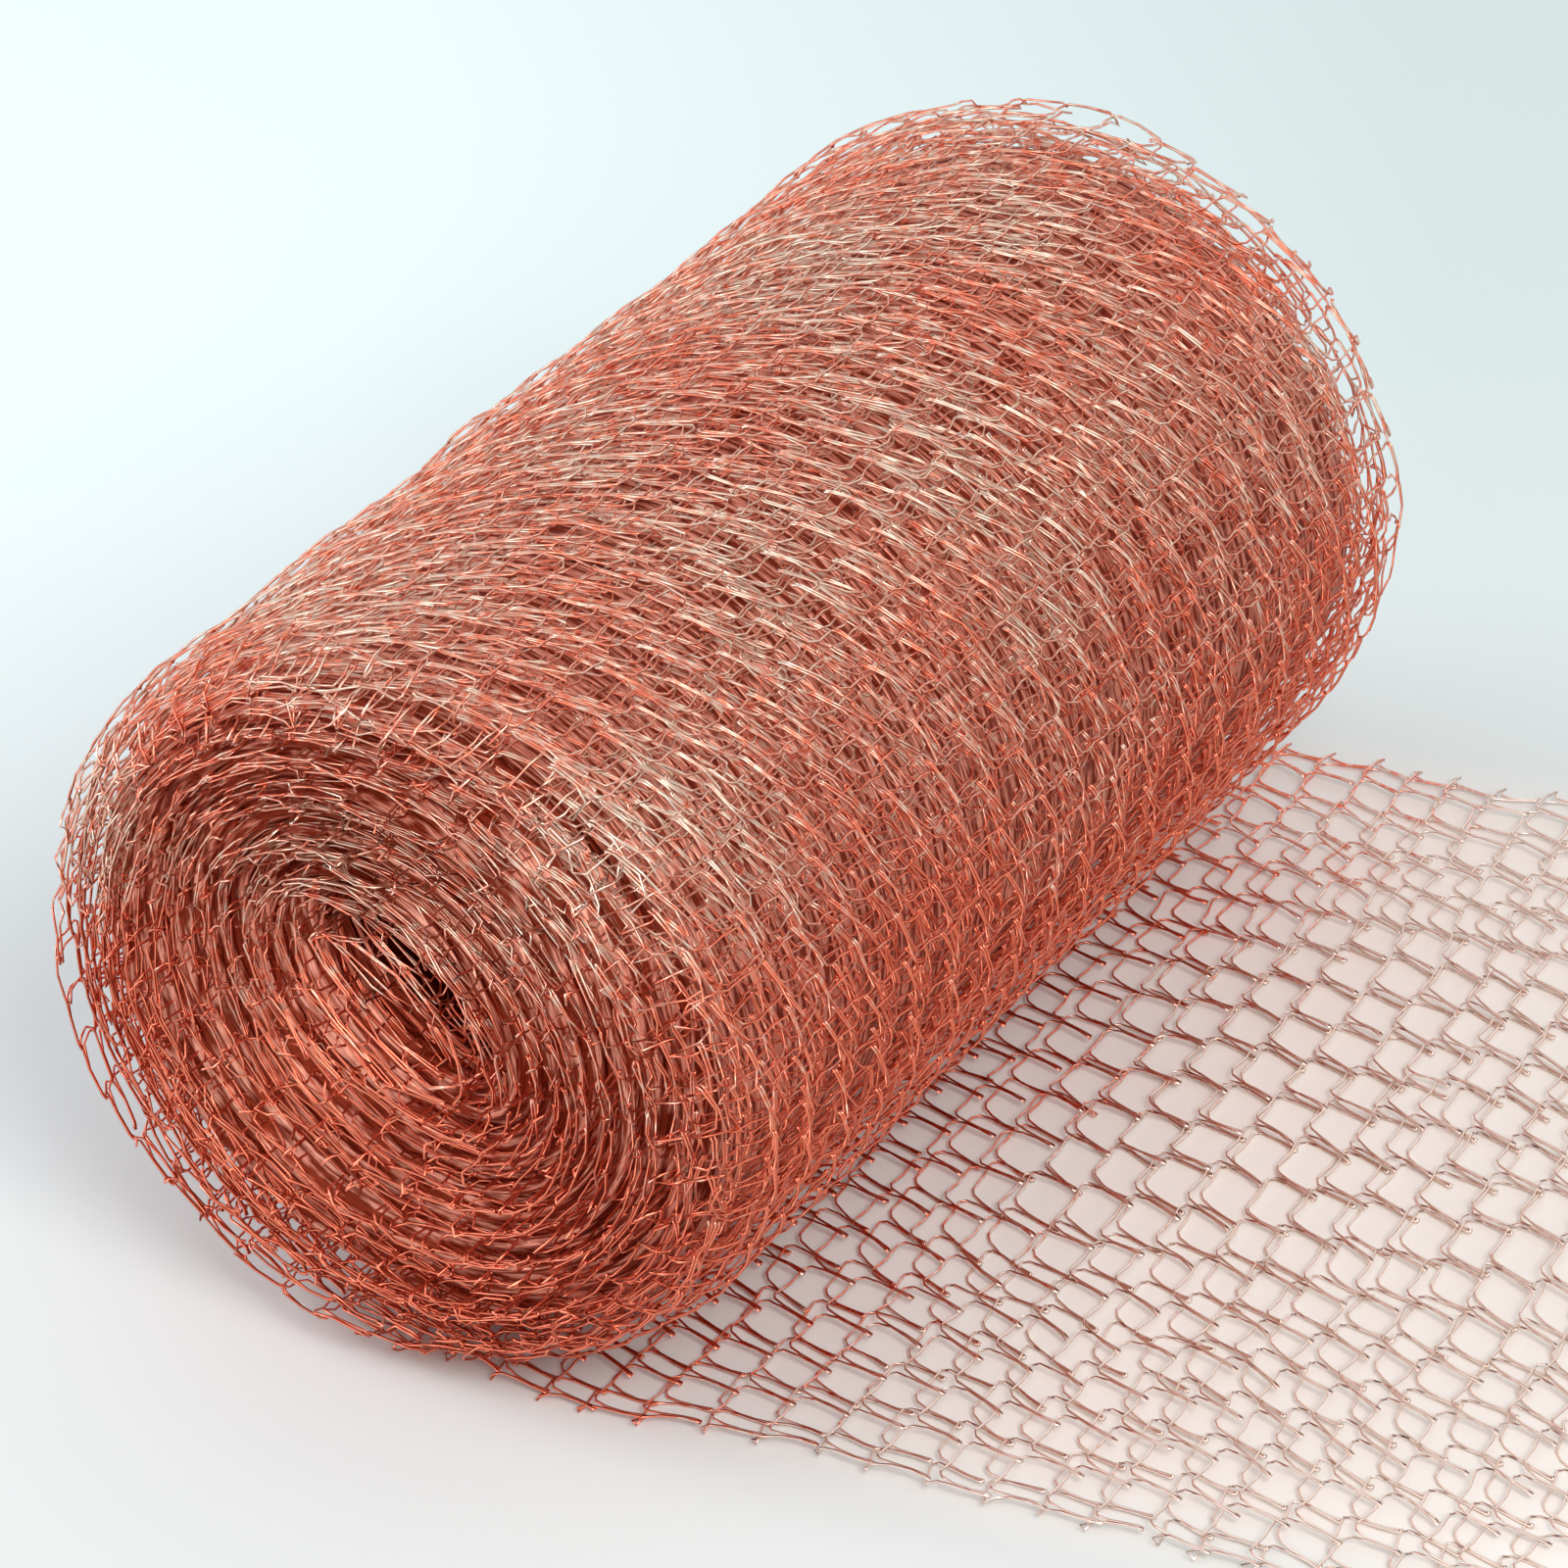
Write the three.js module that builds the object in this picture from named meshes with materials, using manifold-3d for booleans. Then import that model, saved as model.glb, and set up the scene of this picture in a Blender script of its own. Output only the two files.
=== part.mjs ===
// Roll of knitted copper mesh: a knitted tube of copper wire, pressed flat into a strip and
// wound up on itself, with its loose end lying out on the surface beside the roll.
// Millimetres, +Z up. The roll's axis runs along Y, and the loose end leaves the roll's
// underside towards +X. Seen from the -Y end, the strip runs up the -X side, over the top,
// down the +X side and so inwards, turn inside turn. It is one continuous piece, so it is
// one solid, with the turns as ridges on both ends, the knit as ridges round the side, and
// the open stitches of the loose end as gaps in its sheet.
import * as THREE from "three";
import { mergeVertices } from "three/addons/utils/BufferGeometryUtils.js";
import Module from "manifold-3d";

const wasm = await Module();
wasm.setup();

// The strip
const stripWidth = 127; // along the roll's axis, fold to fold
const tailThickness = 1.6; // two knitted layers lying on each other

// The roll
const rollRadius = 36; // where the strip leaves it
const wantedPitch = 2.6; // from one visible turn to the next
const coreRadius = 2.2; // mean radius of the hollow inside the last turn
const edgeRadius = 7.4; // rounding where the turns' edges draw in at both ends
const endDish = 1.2; // how far the middle of each end lies back
const grooveDepth = 3; // between turns, on the ends
const coreDepth = 9; // how far the hollow shows in from each end
const flatDepth = 0.4; // how far its weight flattens the underside
const sag = 0.02; // share by which its weight widens it

// The squeezed core: the inner turns close on a slot that lies askew above mid-height
const coreRise = 3.7;
const slotReach = 5.5; // what the slot adds to the core's half length
const slotSqueeze = 0.3; // share taken off the core across the slot
const slotTilt = THREE.MathUtils.degToRad(-41);
const turnWave = 0.35; // how far a turn strays from a true spiral
const wavesPerTurn = 3;

// The knit round the side of the roll
const knitDepth = 3; // from the ridges down to the openings between them
const knitRowPitch = 5.2; // along the axis
const sectors = 44; // steps round one turn, an even number

// The loose end
const tailLength = 116; // from under the roll's axis to the plain cut
const tailSlope = 0.156; // it lies askew: across per length
const tailOffset = 3.1; // its middle, from the roll's middle
const tailFlare = 0.03; // what each edge spreads, per length
const settleLength = 15; // over which it opens out after leaving the roll
const rootNip = 5; // how far the roll draws in each edge where it leaves
const scallopDepth = 0.7; // of the folded edges
const scallopPitch = 9;
const rootReach = 14; // of the nip between roll and loose end
const rootInset = 3; // how far the loose end starts back under the roll

// The open stitches of the loose end, in rows that run away from the roll
const gapRows = 11;
const gapPitch = 10; // along a row
const barWidth = 2.2; // of knit left between two gaps
const selvage = 1.9; // of closed knit along each folded edge
const firstGap = 15; // from under the roll's axis to the first gap
const lastBar = 2; // of knit left before the plain cut

const fullTurn = 2 * Math.PI;
const turns = Math.max(2, Math.round((rollRadius - coreRadius) / wantedPitch) - 1);
const turnPitch = (rollRadius - coreRadius) / (turns + 1);
const axisHeight = rollRadius - flatDepth;
const sideHalf = stripWidth / 2 - edgeRadius;
const tailHalf = stripWidth / 2;

const copper = new THREE.MeshStandardMaterial({
  color: 0xb87363,
  roughness: 0.4,
  metalness: 0.9,
});

// Radius of the strip's outer face after a number of sectors of winding, counted inwards
// from where the loose end leaves; part is how deep into that turn, as a share of the turn.
function windRadius(sector, part = 0) {
  return rollRadius - turnPitch * (sector / sectors + part);
}

// A point of the roll's section as (x, z), from its radius and the winding so far. The
// squeezed core stretches inner turns along the slot, and lifts them.
function sectionPoint(radius, sector) {
  const angle = (fullTurn * sector) / sectors;
  const inward = 1 - radius / rollRadius;
  const wavy = radius + turnWave * Math.sin(wavesPerTurn * angle + radius) * Math.sqrt(inward);
  const cos = Math.cos(slotTilt);
  const sin = Math.sin(slotTilt);
  const x = -Math.sin(angle);
  const z = -Math.cos(angle);
  const along = (x * cos + z * sin) * (wavy + slotReach * inward ** 1.5);
  const across = (z * cos - x * sin) * wavy * (1 - slotSqueeze * inward);
  return [
    (1 + sag) * (along * cos - across * sin),
    Math.max(0, axisHeight + coreRise * inward + along * sin + across * cos),
  ];
}

// How far out an end reaches at a depth below the roll's side: a quarter round at the rim,
// then a shallow dish.
function endReach(depth) {
  if (depth < edgeRadius) {
    return sideHalf + Math.sqrt(edgeRadius ** 2 - (edgeRadius - depth) ** 2);
  }
  return tailHalf - endDish * ((depth - edgeRadius) / (rollRadius - edgeRadius)) ** 2;
}

// A point on the end of the roll on the given side of the middle: groove points lie on the
// strip's face and crest points halfway through a turn. The first turn's face is the rim.
function endPoint(side, sector, part) {
  const [x, z] = sectionPoint(windRadius(sector, part), sector);
  const onRim = part === 0 && sector <= sectors;
  const depth = turnPitch * (Math.floor(sector / sectors) + part);
  const groove = part === 0 ? grooveDepth : 0;
  return [x, side * (onRim ? sideHalf : endReach(depth) - groove), z];
}

// The roll: both ends as spiral ridges, the side as a lattice of knit ridges, and the small
// step under it where the strip leaves.
function makeRoll() {
  const positions = [];
  const face = (side, ...points) => {
    const ring = side > 0 ? points : points.reverse();
    for (let i = 2; i < ring.length; i += 1) {
      positions.push(...ring[0], ...ring[i - 1], ...ring[i]);
    }
  };

  const lastSector = turns * sectors;
  for (const side of [-1, 1]) {
    const groove = (sector) => endPoint(side, sector, 0);
    const crest = (sector) => endPoint(side, sector, 0.5);
    for (let k = 0; k < lastSector; k += 1) {
      face(side, groove(k), groove(k + 1), crest(k + 1), crest(k));
      face(side, crest(k), crest(k + 1), groove(k + 1 + sectors), groove(k + sectors));
    }
    const middleRadius = 0.001 * coreRadius;
    const [x, z] = sectionPoint(middleRadius, lastSector);
    const middle = [x, side * (tailHalf - endDish - coreDepth), z];
    for (let k = lastSector; k < lastSector + sectors; k += 1) {
      face(side, middle, groove(k), groove(k + 1));
    }
    face(side, middle, groove(lastSector + sectors), crest(lastSector));
    face(side, middle, crest(lastSector), groove(lastSector));
  }

  const rows = 2 * Math.round(sideHalf / knitRowPitch);
  const sidePoint = (sector, row) => {
    const inside = row > 0 && row < rows;
    const low = inside && (sector + row) % 2 === 1 ? knitDepth : 0;
    const [x, z] = sectionPoint(windRadius(sector) - low, sector);
    return [x, row === rows ? sideHalf : sideHalf * ((2 * row) / rows - 1), z];
  };
  for (let row = 0; row < rows; row += 1) {
    for (let k = 0; k < sectors; k += 1) {
      const corners = [
        sidePoint(k, row),
        sidePoint(k + 1, row),
        sidePoint(k + 1, row + 1),
        sidePoint(k, row + 1),
      ];
      // Each cell is split between its two high corners, which makes the ridges.
      if ((k + row) % 2 === 1) {
        corners.push(corners.shift());
      }
      face(1, ...corners);
    }
    face(1, sidePoint(0, row), sidePoint(0, row + 1), sidePoint(sectors, row + 1));
    face(1, sidePoint(0, row), sidePoint(sectors, row + 1), sidePoint(sectors, row));
  }
  face(1, sidePoint(0, 0), sidePoint(sectors, 0), endPoint(-1, 0, 0.5));
  face(1, sidePoint(0, rows), endPoint(1, 0, 0.5), sidePoint(sectors, rows));

  const geometry = new THREE.BufferGeometry();
  geometry.setAttribute("position", new THREE.Float32BufferAttribute(positions, 3));
  return geometry;
}

// From a place on the strip, along its length and across from its middle, to a point on the
// surface it lies on. The strip opens out as it leaves the roll, and then lies askew, with
// its courses parallel to the roll's axis there and square to its edges at the plain cut.
function tailPoint(along, across) {
  const settled = THREE.MathUtils.smoothstep(along, 0, settleLength);
  const drawn = 1 - (rootNip / tailHalf) * (1 - settled);
  const spread = 1 + (tailFlare * along) / tailHalf;
  const x = along - (tailSlope * across * Math.max(0, along)) / tailLength;
  const y = tailOffset * settled + tailSlope * Math.max(0, along) + across * drawn * spread;
  return new THREE.Vector2(x, y);
}

// One six-sided gap, longer across the strip than along it.
function gapPath(along, across, halfAlong, halfAcross) {
  const corners = [
    [0, 1],
    [-1, 0.5],
    [-1, -0.5],
    [0, -1],
    [1, -0.5],
    [1, 0.5],
  ];
  return new THREE.Path(
    corners.map(([a, b]) => tailPoint(along + a * halfAlong, across + b * halfAcross)),
  );
}

// The loose end: a sheet with scalloped folds at both edges and staggered rows of gaps.
function makeTail() {
  const steps = 2 * Math.round((tailLength + rootInset) / scallopPitch);
  const edge = (side) =>
    Array.from({ length: steps + 1 }, (_, i) => {
      const along = -rootInset + ((tailLength + rootInset) * i) / steps;
      return tailPoint(along, side * (tailHalf - (i % 2) * scallopDepth));
    });
  const sheet = new THREE.Shape([...edge(-1), ...edge(1).reverse()]);

  // Gaps nest like bricks: their tips reach past the rows' own lines by half a row.
  const tip = 2 / 3;
  const tipCut = barWidth / Math.sqrt(3);
  const rowPitch = (tailHalf - selvage + tipCut) / ((gapRows - 1) / 2 + tip);
  const halfAcross = rowPitch * tip - tipCut;
  const halfAlong = (gapPitch - barWidth) / 2;
  const lastCentre = tailLength - lastBar - halfAlong;
  for (let row = 0; row < gapRows; row += 1) {
    const across = (row - (gapRows - 1) / 2) * rowPitch;
    const start = firstGap + halfAlong + (row % 2) * (gapPitch / 2);
    for (let along = start; along <= lastCentre; along += gapPitch) {
      sheet.holes.push(gapPath(along, across, halfAlong, halfAcross));
    }
  }
  return new THREE.ExtrudeGeometry(sheet, { depth: tailThickness, bevelEnabled: false });
}

// The nip: the strip peels away from the roll's underside over a short wedge.
function makeNip() {
  const rise = turnPitch + knitDepth + tailThickness;
  const wedge = new THREE.Shape([
    new THREE.Vector2(-rootInset, 0),
    new THREE.Vector2(rootReach, 0),
    new THREE.Vector2(rootReach, tailThickness / 2),
    new THREE.Vector2(rootReach / 3, rise),
    new THREE.Vector2(-rootInset, rise),
  ]);
  const geometry = new THREE.ExtrudeGeometry(wedge, { depth: 2 * sideHalf, bevelEnabled: false });
  geometry.rotateX(Math.PI / 2);
  geometry.translate(0, sideHalf, 0);
  return geometry;
}

// A closed solid from a geometry, joined up on position alone.
function solidFrom(geometry) {
  const bare = geometry.clone();
  bare.deleteAttribute("normal");
  bare.deleteAttribute("uv");
  const merged = mergeVertices(bare, 1e-4);
  return new wasm.Manifold(
    new wasm.Mesh({
      numProp: 3,
      vertProperties: new Float32Array(merged.attributes.position.array),
      triVerts: new Uint32Array(merged.index.array),
    }),
  );
}

// The geometry of a solid, for a mesh.
function geometryFrom(solid) {
  const { vertProperties, triVerts } = solid.getMesh();
  const geometry = new THREE.BufferGeometry();
  geometry.setAttribute("position", new THREE.BufferAttribute(vertProperties, 3));
  geometry.setIndex(new THREE.BufferAttribute(triVerts, 1));
  geometry.computeVertexNormals();
  return geometry;
}

const whole = solidFrom(makeRoll()).add(solidFrom(makeTail())).add(solidFrom(makeNip()));
const geometry = geometryFrom(whole);

// The origin is the middle of the footprint, on the surface that the roll rests on.
geometry.computeBoundingBox();
const footprint = geometry.boundingBox.getCenter(new THREE.Vector3());
geometry.translate(-footprint.x, -footprint.y, -geometry.boundingBox.min.z);

const roll = new THREE.Mesh(geometry, copper);
roll.name = "copper_mesh";

const part = new THREE.Group();
part.add(roll);

export default part;
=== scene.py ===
"""A roll of knitted copper mesh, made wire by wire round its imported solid.

The mesh is a tube knitted from copper wire, pressed flat into a strip and wound up. Each
course of the knit is one wire that runs round the flattened tube in loops. A place on the
strip is (along, across, out): millimetres along it from where it leaves the roll, positive
into the roll; across from its middle; and out from its mid-surface, away from the roll's
axis. Lengths are millimetres until a mesh is written, which is in metres.
"""

import bpy
import numpy as np
from mathutils import Matrix, Vector


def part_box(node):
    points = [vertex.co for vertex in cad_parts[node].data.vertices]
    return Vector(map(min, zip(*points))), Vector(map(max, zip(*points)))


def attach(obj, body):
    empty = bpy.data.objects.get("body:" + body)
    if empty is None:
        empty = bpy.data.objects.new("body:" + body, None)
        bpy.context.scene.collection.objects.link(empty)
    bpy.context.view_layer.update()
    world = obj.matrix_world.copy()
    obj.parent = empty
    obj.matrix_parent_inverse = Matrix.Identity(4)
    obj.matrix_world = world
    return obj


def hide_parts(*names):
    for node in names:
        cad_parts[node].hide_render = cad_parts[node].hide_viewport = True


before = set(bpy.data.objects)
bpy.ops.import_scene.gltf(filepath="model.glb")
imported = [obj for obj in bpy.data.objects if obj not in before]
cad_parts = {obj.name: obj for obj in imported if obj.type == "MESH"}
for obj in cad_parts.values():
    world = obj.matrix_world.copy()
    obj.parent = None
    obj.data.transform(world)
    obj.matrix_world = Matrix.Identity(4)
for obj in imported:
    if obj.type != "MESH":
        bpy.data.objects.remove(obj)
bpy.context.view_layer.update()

bl_info = {
    "name": "Copper mesh roll",
    "version": (1, 0, 0),
    "blender": (4, 5, 0),
    "location": "3D View > Sidebar > Mesh Roll",
    "description": "Knitted copper mesh wound into a roll, with its loose end spread out",
    "category": "Add Mesh",
}

MM = 0.001
FULL_TURN = 2 * np.pi
NODE = "copper_mesh"
LOW = np.array(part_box(NODE)[0]) / MM

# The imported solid's own sizes
STRIP_WIDTH = 127.0
ROLL_RADIUS = 36.0
PACKED_PITCH = 2.6
EDGE_RADIUS = 7.4
END_DISH = 1.2
FLAT_DEPTH = 0.4
SAG = 0.02
CORE_RADIUS = 2.2
CORE_RISE = 3.7
SLOT_REACH = 5.5
SLOT_SQUEEZE = 0.3
SLOT_TILT = np.radians(-41)
TURN_WAVE = 0.35
WAVES_PER_TURN = 3
TAIL_LENGTH = 116.0
TAIL_SLOPE = 0.156
TAIL_OFFSET = 3.1
TAIL_FLARE = 0.03
SETTLE_LENGTH = 15.0
ROOT_NIP = 5.0

HALF = STRIP_WIDTH / 2
SIDE_HALF = HALF - EDGE_RADIUS
AXIS_HEIGHT = ROLL_RADIUS - FLAT_DEPTH
# The roll's near end is the box's low Y, and its quarter turn is the box's low X.
ROLL_X = LOW[0] + (1 + SAG) * (ROLL_RADIUS - PACKED_PITCH / 4)
ROLL_Y = LOW[1] + HALF

# The flattened tube
GAP = 0.38  # from its mid-surface to a wall, and the radius of its folded edges
WIRE_ROOM = 0.27  # what the wires of a wall take beyond it
HALF_THICK = GAP + WIRE_ROOM

# Where the wound strip strays from an even spiral
RIM_TURNS = 0.7  # wound before the ends draw in
EDGE_INSET = 2.2  # added to a turn's depth where the end's reach is read
PAIR_REACH = 0.6  # how far one turn of a pair stands out at the ends, and the other back
PAIR_SHIFT = 0.24  # how far each turn of a pair moves towards the other
SLACK = 0.4  # share of the drawing in that the outermost turn's slack edges are spared
SLACK_NEAR = (0.17, 0.24)  # middle and half width of the near edge's slack, in turns
SLACK_FAR = (0.62, 0.34)  # the same of the far edge's
SLACK_INSET = 0.8  # of a slack edge from the strip's full width
SLACK_LIFT = 0.3
WOUND_FRAY = 0.4
BULGE = 0.2
PAIRS_BEGIN = (1, 3)  # turns over which the pairing sets in
BULGE_BEGINS = (0.1, 0.4)
LEAST_RADIUS = CORE_RADIUS - 0.6
INNERMOST_ROOM = 0.6  # that the last turn leaves round the slot

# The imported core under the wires
CORE_UNDER = 0.6  # how far it lies below the last full turn
CORE_INSET = 3.2  # of its ends behind the turns' edges
PIT_DEPTH, PIT_RADIUS = 14.0, 3.5
GROOVE_DEPTH = 1.4

# How the loose end lies
LOOSE_FRAY = 0.6
LOOSE_LIFT = 0.25
LOOSE_FLATTENING = 0.45  # share of the tube's thickness that is pressed out of it
NETS_MEET = 8  # place across where its two walls' nets lie on each other
NETS_PART = (12, 40)  # from there: where they begin to part, and where they have
NETS_PART_AT_ROOT = (-50, -15)  # the same along the strip, towards the roll

# The stitch: shares of a course, or of a wale where it says so
STITCH_HEIGHT = 0.52  # from its middle to its head, and to its hairpin
HEIGHT_SPREAD = 0.1  # of a half stitch, as a share of its height
HEAD_SWELL, HEAD_SQUARE = 0.235, 0.07  # a and b, of a wale
RISE, RISE_SQUARE = 1.22, 0.24  # c and e, of the height
HAIRPIN_LEAN = 0.46  # of the height
COURSE_BEND = 0.5  # ahead on the outer wall's middle, behind on the inner one's
COURSE_STRAY = 0.07
COURSE_SWAY = 0.08
LOOSE_PHASE = 0.25  # where the loose end's stitches start round the tube, of a wale
# The same stitch's small moves, in millimetres
STITCH_STRAY = 0.18
CROSSING_DEPTH = 0.2
CROSSING_SWAY = 0.1
SIDE_SWAY = 0.2
WALLS_APART = 0.45
SWAY_APART, SIDE_APART = 90, 40  # half the way from one wall's waves to the other's

# How finely the wires are drawn
WIRE_SIDES = 3
ROLL_STEPS = 12  # a stitch
LOOSE_STEPS = 18
EDGE_STITCHES = 3  # round each fold of an inner turn
MOST_TRIANGLES = 190_000  # a piece

# Added to the seed, so that each piece has chance values of its own
OUTER_SEED, ENDS_SEED, LOOSE_SEED = 10, 30, 50


class RollSizes(bpy.types.PropertyGroup):
    """Sizes of the winding and the wire"""

    pitch: bpy.props.FloatProperty(
        name="Winding pitch",
        description="Thickness that one turn of the flattened tube takes, in mm",
        default=1.3, min=0.8, max=4.0,
    )
    full_turns: bpy.props.IntProperty(
        name="Full turns",
        description="Outer turns that are knitted over their whole width",
        default=4, min=1, max=9,
    )
    wire: bpy.props.FloatProperty(
        name="Wire diameter", description="Diameter of the wire, in mm",
        default=0.26, min=0.1, max=0.6,
    )
    roll_course: bpy.props.FloatProperty(
        name="Course, wound",
        description="From one course to the next where the strip is wound tight, in mm",
        default=4.8, min=3.0, max=10.0,
    )
    tail_course: bpy.props.FloatProperty(
        name="Course, loose",
        description="From one course to the next in the loose end, in mm",
        default=4.6, min=3.0, max=10.0,
    )
    wales: bpy.props.IntProperty(
        name="Wales", description="Loops round the tube in one course", default=40, min=8, max=60
    )
    seed: bpy.props.IntProperty(name="Seed", description="Seed of every chance value", default=7)


class CopperLook(bpy.types.PropertyGroup):
    """Colours of the copper wire"""

    bright: bpy.props.FloatVectorProperty(
        name="Bright copper", description="Freshly drawn wire", subtype="COLOR",
        size=3, default=(0.95, 0.75, 0.61), min=0, max=1,
    )
    # Rosy copper gives toned patches at random, and is also painted shade: low on the roll, and,
    # deepened, between the core's strokes.
    rosy: bpy.props.FloatVectorProperty(
        name="Rosy copper", description="Wire that has begun to tone", subtype="COLOR",
        size=3, default=(0.97, 0.28, 0.17), min=0, max=1,
    )
    # A paler copy of the copper for the loose end: painted light from the pale floor.
    loose: bpy.props.FloatVectorProperty(
        name="Loose copper", description="Wire of the loose end, lit through by the pale floor",
        subtype="COLOR", size=3, default=(0.98, 0.80, 0.71), min=0, max=1,
    )
    roughness: bpy.props.FloatProperty(
        name="Roughness", description="Roughness of the drawn wire", default=0.3, min=0, max=1
    )


class StageLook(bpy.types.PropertyGroup):
    """Colours of the floor, and light"""

    # The floor colours by place are painted light: lighter and cooler far on the left, greyer near
    # the camera and far on the right, and warm under the loose end.
    front: bpy.props.FloatVectorProperty(
        name="Front", description="Colour of the floor near the camera", subtype="COLOR",
        size=3, default=(0.79, 0.81, 0.79), min=0, max=1,
    )
    # Painted warm light on the floor under the loose end, tinted by the copper.
    under: bpy.props.FloatVectorProperty(
        name="Under", description="Colour of the floor under the loose end", subtype="COLOR",
        size=3, default=(1.0, 0.95, 0.90), min=0, max=1,
    )
    middle: bpy.props.FloatVectorProperty(
        name="Middle", description="Colour of the floor beside the roll", subtype="COLOR",
        size=3, default=(0.82, 0.87, 0.87), min=0, max=1,
    )
    back_left: bpy.props.FloatVectorProperty(
        name="Back left", description="Colour of the floor behind, on the left", subtype="COLOR",
        size=3, default=(0.90, 1.0, 1.0), min=0, max=1,
    )
    back_right: bpy.props.FloatVectorProperty(
        name="Back right", description="Colour of the floor behind, on the right", subtype="COLOR",
        size=3, default=(0.73, 0.82, 0.81), min=0, max=1,
    )
    key: bpy.props.FloatProperty(
        name="Key light", description="Power of the overhead light, in W", default=4.6, min=0
    )
    sky: bpy.props.FloatProperty(
        name="Sky", description="Strength of the light from all round", default=0.6, min=0
    )


def tube_walls(perimeter, gap):
    """Across, out and the two parts of the wall's own normal, for places round the flattened tube.

    Round the near fold a half circle of radius gap, then the outer wall straight to the far
    fold; negative places lie the same way along the inner wall.
    """
    side = np.sign(perimeter)
    quarter = np.pi * gap / 2
    straight = 2 * (HALF - gap)
    way = np.abs(perimeter)
    near = np.clip(way / gap, 0, np.pi / 2)
    far = np.clip((way - quarter - straight) / gap, 0, np.pi / 2)
    flat = np.clip(way - quarter, 0, straight)
    across = -HALF + gap * (1 - np.cos(near)) + flat + gap * np.sin(far)
    rise = np.sin(near) * np.cos(far)
    return across, side * gap * rise, np.sin(far) - np.cos(near), side * rise


def turns_at(along, pitch):
    """Turns wound at a length along the strip: length is 2 pi (R w - p w^2 / 2), solved for w."""
    inside = np.maximum(ROLL_RADIUS ** 2 - pitch * np.maximum(along, 0) / np.pi, 0)
    return (ROLL_RADIUS - np.sqrt(inside)) / pitch


def end_reach(depth):
    """How far out an end reaches at a depth below the side: a quarter round, then a dish."""
    below = np.clip(EDGE_RADIUS - depth, 0, EDGE_RADIUS)
    rim = SIDE_HALF + np.sqrt(EDGE_RADIUS ** 2 - below ** 2)
    inner = np.clip((depth - EDGE_RADIUS) / (ROLL_RADIUS - EDGE_RADIUS), 0, 1)
    return rim - END_DISH * inner ** 2


def section(radius, angle):
    """A point of the roll's section, as x from under its axis and z from the floor.

    The radius strays a little in waves, inner turns are stretched along a tilted slot and
    squeezed across it, and they rise; all three fade to nothing at the outside.
    """
    inward = np.clip(1 - radius / ROLL_RADIUS, 0, 1)
    wavy = radius + TURN_WAVE * np.sin(WAVES_PER_TURN * angle + radius) * np.sqrt(inward)
    cos, sin = np.cos(SLOT_TILT), np.sin(SLOT_TILT)
    x, z = -np.sin(angle), -np.cos(angle)
    along = (x * cos + z * sin) * (wavy + SLOT_REACH * inward ** 1.5)
    across = (z * cos - x * sin) * wavy * (1 - SLOT_SQUEEZE * inward)
    return (
        (1 + SAG) * (along * cos - across * sin),
        AXIS_HEIGHT + CORE_RISE * inward + along * sin + across * cos,
    )


def bump(value, middle, width):
    """A smooth hump of height 1 round middle, down to nothing at width on both sides."""
    return np.cos(np.clip((value - middle) / width, -1, 1) * np.pi / 2) ** 2


def smoothstep(value, start, end):
    """0 before start, 1 after end, and 3 t^2 - 2 t^3 between."""
    t = np.clip((value - start) / (end - start), 0, 1)
    return t * t * (3 - 2 * t)


class Waves:
    """Smooth chance values: a sum of sine waves with random directions, lengths and phases."""

    def __init__(self, rng, shortest, longest, count=7):
        length = np.exp(rng.uniform(np.log(shortest), np.log(longest), count))
        heading = rng.uniform(0, FULL_TURN, count)
        self.a = FULL_TURN / length * np.cos(heading)
        self.b = FULL_TURN / length * np.sin(heading)
        self.phase = rng.uniform(0, FULL_TURN, count)
        self.scale = np.sqrt(2 / count)

    def __call__(self, u, v):
        """About -2 to 2, with a spread of 1."""
        total = 0
        for a, b, phase in zip(self.a, self.b, self.phase):
            total = total + np.sin(a * u + b * v + phase)
        return total * self.scale


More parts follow.
